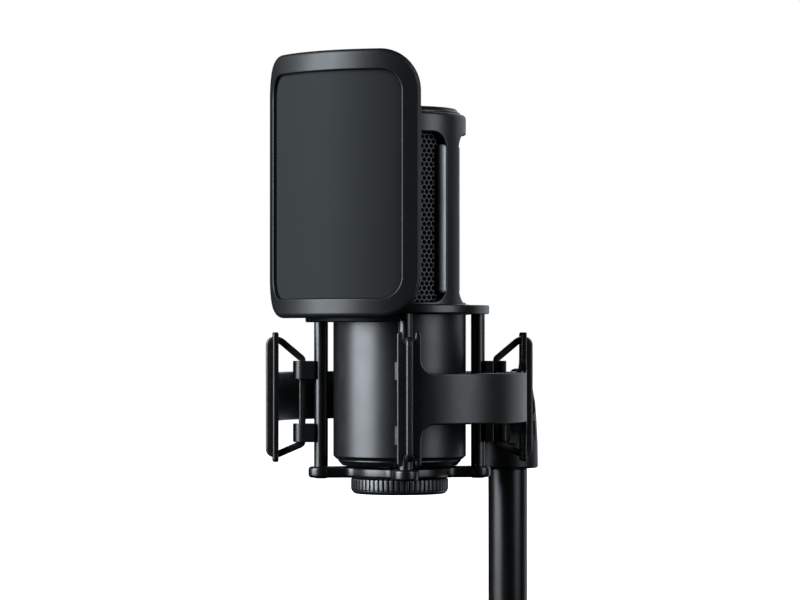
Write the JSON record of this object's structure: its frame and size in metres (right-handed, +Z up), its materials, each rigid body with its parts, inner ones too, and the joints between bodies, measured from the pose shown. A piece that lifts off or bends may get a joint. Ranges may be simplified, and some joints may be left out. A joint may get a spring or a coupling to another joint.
{
  "type": "studio microphone in shock mount with pop shield",
  "caption": "Side-address studio microphone held by elastic bands in a shock mount on a stand adapter, with a curved pop shield in front.",
  "frame": {"origin": "centre of the stand tube's lower end, at the mouth of its threaded socket", "axes": "+Z up along the stand tube; -Y is the mount's front, where the microphone and its pop shield stand; +X is the mount's right seen from behind the pop shield"},
  "size_m": [0.1094, 0.1437, 0.2434],
  "materials": {
    "tube_metal": "satin black paint on steel tube",
    "brass": "turned brass thread insert",
    "mount_plastic": "fine satin black moulding",
    "knob_plastic": "satin black ribbed moulding",
    "mount_metal": "satin black painted steel",
    "fastener_steel": "plain steel",
    "band_rubber": "matte black elastic",
    "mic_metal": "satin charcoal paint on zinc and brass",
    "grille_metal": "satin charcoal perforated steel",
    "insert_plastic": "matte black",
    "board": "green solder mask",
    "core_iron": "laminated iron core with tape",
    "capsule_brass": "machined brass backplate",
    "diaphragm_gold": "gold-coated film in its clamping ring",
    "shield_metal": "satin charcoal paint",
    "shield_plastic": "satin black moulding",
    "screen_cloth": "fine close-woven dark grey cloth",
    "foam": "open-cell foam"
  },
  "bodies": {
    "stand": {"stand_tube": "tube_metal", "tube_end_bush": "brass"},
    "adapter": {"stand_adapter": "mount_plastic", "adapter_thread_bush": "brass", "tilt_bolt": "mount_metal", "friction_washer_right": "fastener_steel", "friction_washer_left": "fastener_steel"},
    "knob": {"tilt_knob": "knob_plastic"},
    "frame": {"outer_frame": "mount_plastic", "elastic_band_1": "band_rubber", "elastic_band_2": "band_rubber", "elastic_band_3": "band_rubber", "elastic_band_4": "band_rubber"},
    "cage": {"upper_plate": "mount_metal", "plate_liner": "band_rubber", "lower_spider": "mount_metal", "post_1": "mount_metal", "post_2": "mount_metal", "post_3": "mount_metal", "post_4": "mount_metal", "upper_clip_1": "mount_plastic", "lower_clip_1": "mount_plastic", "upper_clip_2": "mount_plastic", "lower_clip_2": "mount_plastic", "upper_clip_3": "mount_plastic", "lower_clip_3": "mount_plastic", "upper_clip_4": "mount_plastic", "lower_clip_4": "mount_plastic", "post_screw_1": "fastener_steel", "post_screw_2": "fastener_steel", "post_screw_3": "fastener_steel", "post_screw_4": "fastener_steel"},
    "microphone": {"mic_tube": "mic_metal", "base_cap": "mic_metal", "xlr_insert": "insert_plastic", "xlr_pin_1": "fastener_steel", "xlr_pin_2": "fastener_steel", "xlr_pin_3": "fastener_steel", "chassis_rail_right": "fastener_steel", "chassis_rail_left": "fastener_steel", "circuit_board": "board", "transformer": "core_iron", "head_floor": "mic_metal", "head_frame": "mic_metal", "head_lid": "mic_metal", "front_grille": "grille_metal", "rear_grille": "grille_metal", "grille_liner": "grille_metal", "capsule_body": "capsule_brass", "front_diaphragm": "diaphragm_gold", "rear_diaphragm": "diaphragm_gold", "capsule_saddle": "insert_plastic"},
    "nut": {"ring_nut": "knob_plastic"},
    "pop_shield": {"shield_frame": "shield_metal", "shield_screen": "screen_cloth", "shield_foam": "foam", "shield_back": "shield_plastic", "shield_foot": "shield_plastic", "shield_magnet_right": "fastener_steel", "shield_magnet_left": "fastener_steel"}
  },
  "joints": [
    {"name": "adapter_swivel", "type": "hinge", "parent": "stand", "child": "adapter", "pos_m": [0, 0, 0.07], "axis": [0, 0, 1], "continuous": true},
    {"name": "frame_tilt", "type": "hinge", "parent": "adapter", "child": "frame", "pos_m": [0, 0.0015, 0.094], "axis": [1, 0, 0], "range_deg": [-80, 20]},
    {"name": "knob_turn", "type": "hinge", "parent": "adapter", "child": "knob", "pos_m": [-0.017, 0.0015, 0.094], "axis": [-1, 0, 0], "continuous": true},
    {"name": "cage_bounce", "type": "slide", "parent": "frame", "child": "cage", "axis": [0, 0, 1], "range_m": [-0.003, 0.003], "stiffness_N_per_m": 3000, "springref_m": 0.00346, "deforming": ["elastic_band_1", "elastic_band_2", "elastic_band_3", "elastic_band_4"]},
    {"name": "mic_turn", "type": "hinge", "parent": "cage", "child": "microphone", "pos_m": [0, -0.0742, 0.1], "axis": [0, 0, 1], "continuous": true},
    {"name": "nut_turn", "type": "hinge", "parent": "microphone", "child": "nut", "pos_m": [0, -0.0742, 0.06], "axis": [0, 0, 1], "continuous": true},
    {"name": "shield_lift", "type": "slide", "parent": "cage", "child": "pop_shield", "axis": [0, 0, 1], "range_m": [0, 0.03]}
  ]
}
